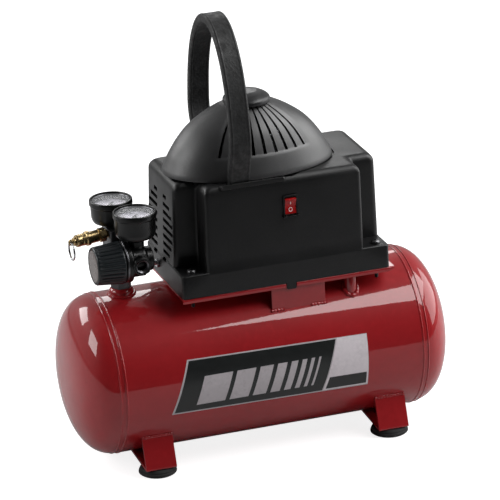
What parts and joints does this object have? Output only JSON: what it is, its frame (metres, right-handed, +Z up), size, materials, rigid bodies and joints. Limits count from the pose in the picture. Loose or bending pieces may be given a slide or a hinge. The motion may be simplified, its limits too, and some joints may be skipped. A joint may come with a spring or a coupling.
{
  "type": "air compressor",
  "caption": "Portable air compressor with a horizontal tank, moulded motor shroud with carry handle, regulator, gauges and safety valve.",
  "frame": {"origin": "on the floor under the middle of the tank, level with the soles of the rubber feet", "axes": "+X along the tank, away from the gauges; -Y is the side with the power switch; +Z up"},
  "size_m": [0.3996, 0.1664, 0.4521],
  "materials": {
    "red_paint": "glossy powder coat, slight orange peel",
    "rubber": "matt moulded rubber",
    "shroud_plastic": "fine-textured black ABS, satin",
    "grip": "soft rubberised grip, mottled",
    "black_steel": "black oxide steel",
    "black_plastic": "smooth black ABS",
    "knob_plastic": "blue-black acetal, ribbed",
    "knob_badge": "pale warm grey cap",
    "switch_red": "translucent red rocker",
    "brass": "machined brass",
    "steel": "bright plated steel",
    "zinc": "die-cast zinc, dull",
    "dial": "printed white dial",
    "gauge_lens": "clear lens",
    "needle": "black needle",
    "aluminium": "cast and drawn aluminium",
    "cast_iron": "varnished laminations",
    "fan_plastic": "glass-filled nylon"
  },
  "bodies": {
    "base": {"tank_shell": "red_paint", "tank_head_left": "red_paint", "tank_head_right": "red_paint", "inlet_bung": "red_paint", "manifold_bung": "red_paint", "mount_plate": "red_paint", "saddle_leg_front": "red_paint", "saddle_leg_rear": "red_paint", "foot_bracket_front_left": "red_paint", "foot_bracket_front_right": "red_paint", "foot_bracket_rear_left": "red_paint", "foot_bracket_rear_right": "red_paint", "rubber_foot_front_left": "rubber", "rubber_foot_front_right": "rubber", "rubber_foot_rear_left": "rubber", "rubber_foot_rear_right": "rubber", "shroud": "shroud_plastic", "dome_cover": "shroud_plastic", "dome_cap": "shroud_plastic", "handle": "grip", "shroud_screw_front_left": "black_steel", "shroud_screw_front_right": "black_steel", "shroud_screw_rear_left": "black_steel", "shroud_screw_rear_right": "black_steel", "switch_housing": "black_plastic", "cord_gland": "black_plastic", "tank_gauge_case": "black_plastic", "line_gauge_case": "black_plastic", "regulator_body": "black_plastic", "pressure_switch": "black_plastic", "drain_valve_body": "brass", "safety_valve_body": "brass", "check_valve": "brass", "outlet_insert": "steel", "manifold": "zinc", "tank_gauge_dial": "dial", "line_gauge_dial": "dial", "tank_gauge_lens": "gauge_lens", "line_gauge_lens": "gauge_lens", "sense_tube": "aluminium", "crankcase": "aluminium", "cylinder": "aluminium", "cylinder_head": "aluminium", "discharge_tube": "aluminium", "motor_stator": "cast_iron"},
    "power_rocker": {"switch_rocker": "switch_red"},
    "regulator_spindle": {"regulator_spindle": "black_steel"},
    "regulator_knob": {"regulator_knob": "knob_plastic", "knob_cap": "knob_badge"},
    "safety_stem": {"safety_valve_stem": "brass"},
    "safety_ring": {"safety_ring": "steel"},
    "tank_needle": {"tank_gauge_needle": "needle"},
    "line_needle": {"line_gauge_needle": "needle"},
    "drain_tap": {"drain_tap": "brass"},
    "motor_shaft": {"motor_rotor": "steel", "cooling_fan": "fan_plastic", "crank_eccentric": "cast_iron"},
    "connecting_rod": {"connecting_rod": "aluminium"},
    "piston": {"piston": "aluminium"}
  },
  "joints": [
    {"name": "power_switch", "type": "hinge", "parent": "base", "child": "power_rocker", "pos_m": [0.0293, -0.0547, 0.261], "axis": [1, 0, 0], "range_deg": [-14, 0]},
    {"name": "pressure_adjust", "type": "hinge", "parent": "base", "child": "regulator_spindle", "pos_m": [-0.13, -0.024, 0.2155], "axis": [1, 0, 0], "range_deg": [-810, 810]},
    {"name": "knob_pull", "type": "slide", "parent": "regulator_spindle", "child": "regulator_knob", "axis": [-1, 0, 0], "range_m": [0, 0.004]},
    {"name": "safety_pull", "type": "slide", "parent": "base", "child": "safety_stem", "axis": [-0.9891, -0.139, -0.0488], "range_m": [0, 0.003], "stiffness_N_per_m": 1500, "springref_m": -0.001},
    {"name": "ring_swing", "type": "hinge", "parent": "safety_stem", "child": "safety_ring", "pos_m": [-0.18197, 0.00351, 0.23407], "axis": [0, 1, 0], "range_deg": [-25, 85]},
    {"name": "tank_pressure", "type": "hinge", "parent": "base", "child": "tank_needle", "pos_m": [-0.1335, 0.022, 0.261], "axis": [0, 0, -1], "range_deg": [0, 270]},
    {"name": "line_pressure", "type": "hinge", "parent": "base", "child": "line_needle", "pos_m": [-0.1227, -0.024, 0.261], "axis": [0, 0, -1], "range_deg": [0, 270]},
    {"name": "drain_open", "type": "hinge", "parent": "base", "child": "drain_tap", "pos_m": [0.06, 0.05656, 0.02359], "axis": [0, 0.6428, -0.766], "range_deg": [0, 450]},
    {"name": "motor_spin", "type": "hinge", "parent": "base", "child": "motor_shaft", "pos_m": [0, 0.004, 0.238], "axis": [1, 0, 0], "continuous": true},
    {"name": "rod_orbit", "type": "hinge", "parent": "motor_shaft", "child": "connecting_rod", "pos_m": [0.052, 0.004, 0.244], "axis": [1, 0, 0], "continuous": true},
    {"name": "piston_stroke", "type": "slide", "parent": "base", "child": "piston", "axis": [0, 0, 1], "range_m": [-0.012, 0]}
  ],
  "couplings": [
    {"joint": "rod_orbit", "follows": "motor_spin", "ratio": -1}
  ]
}
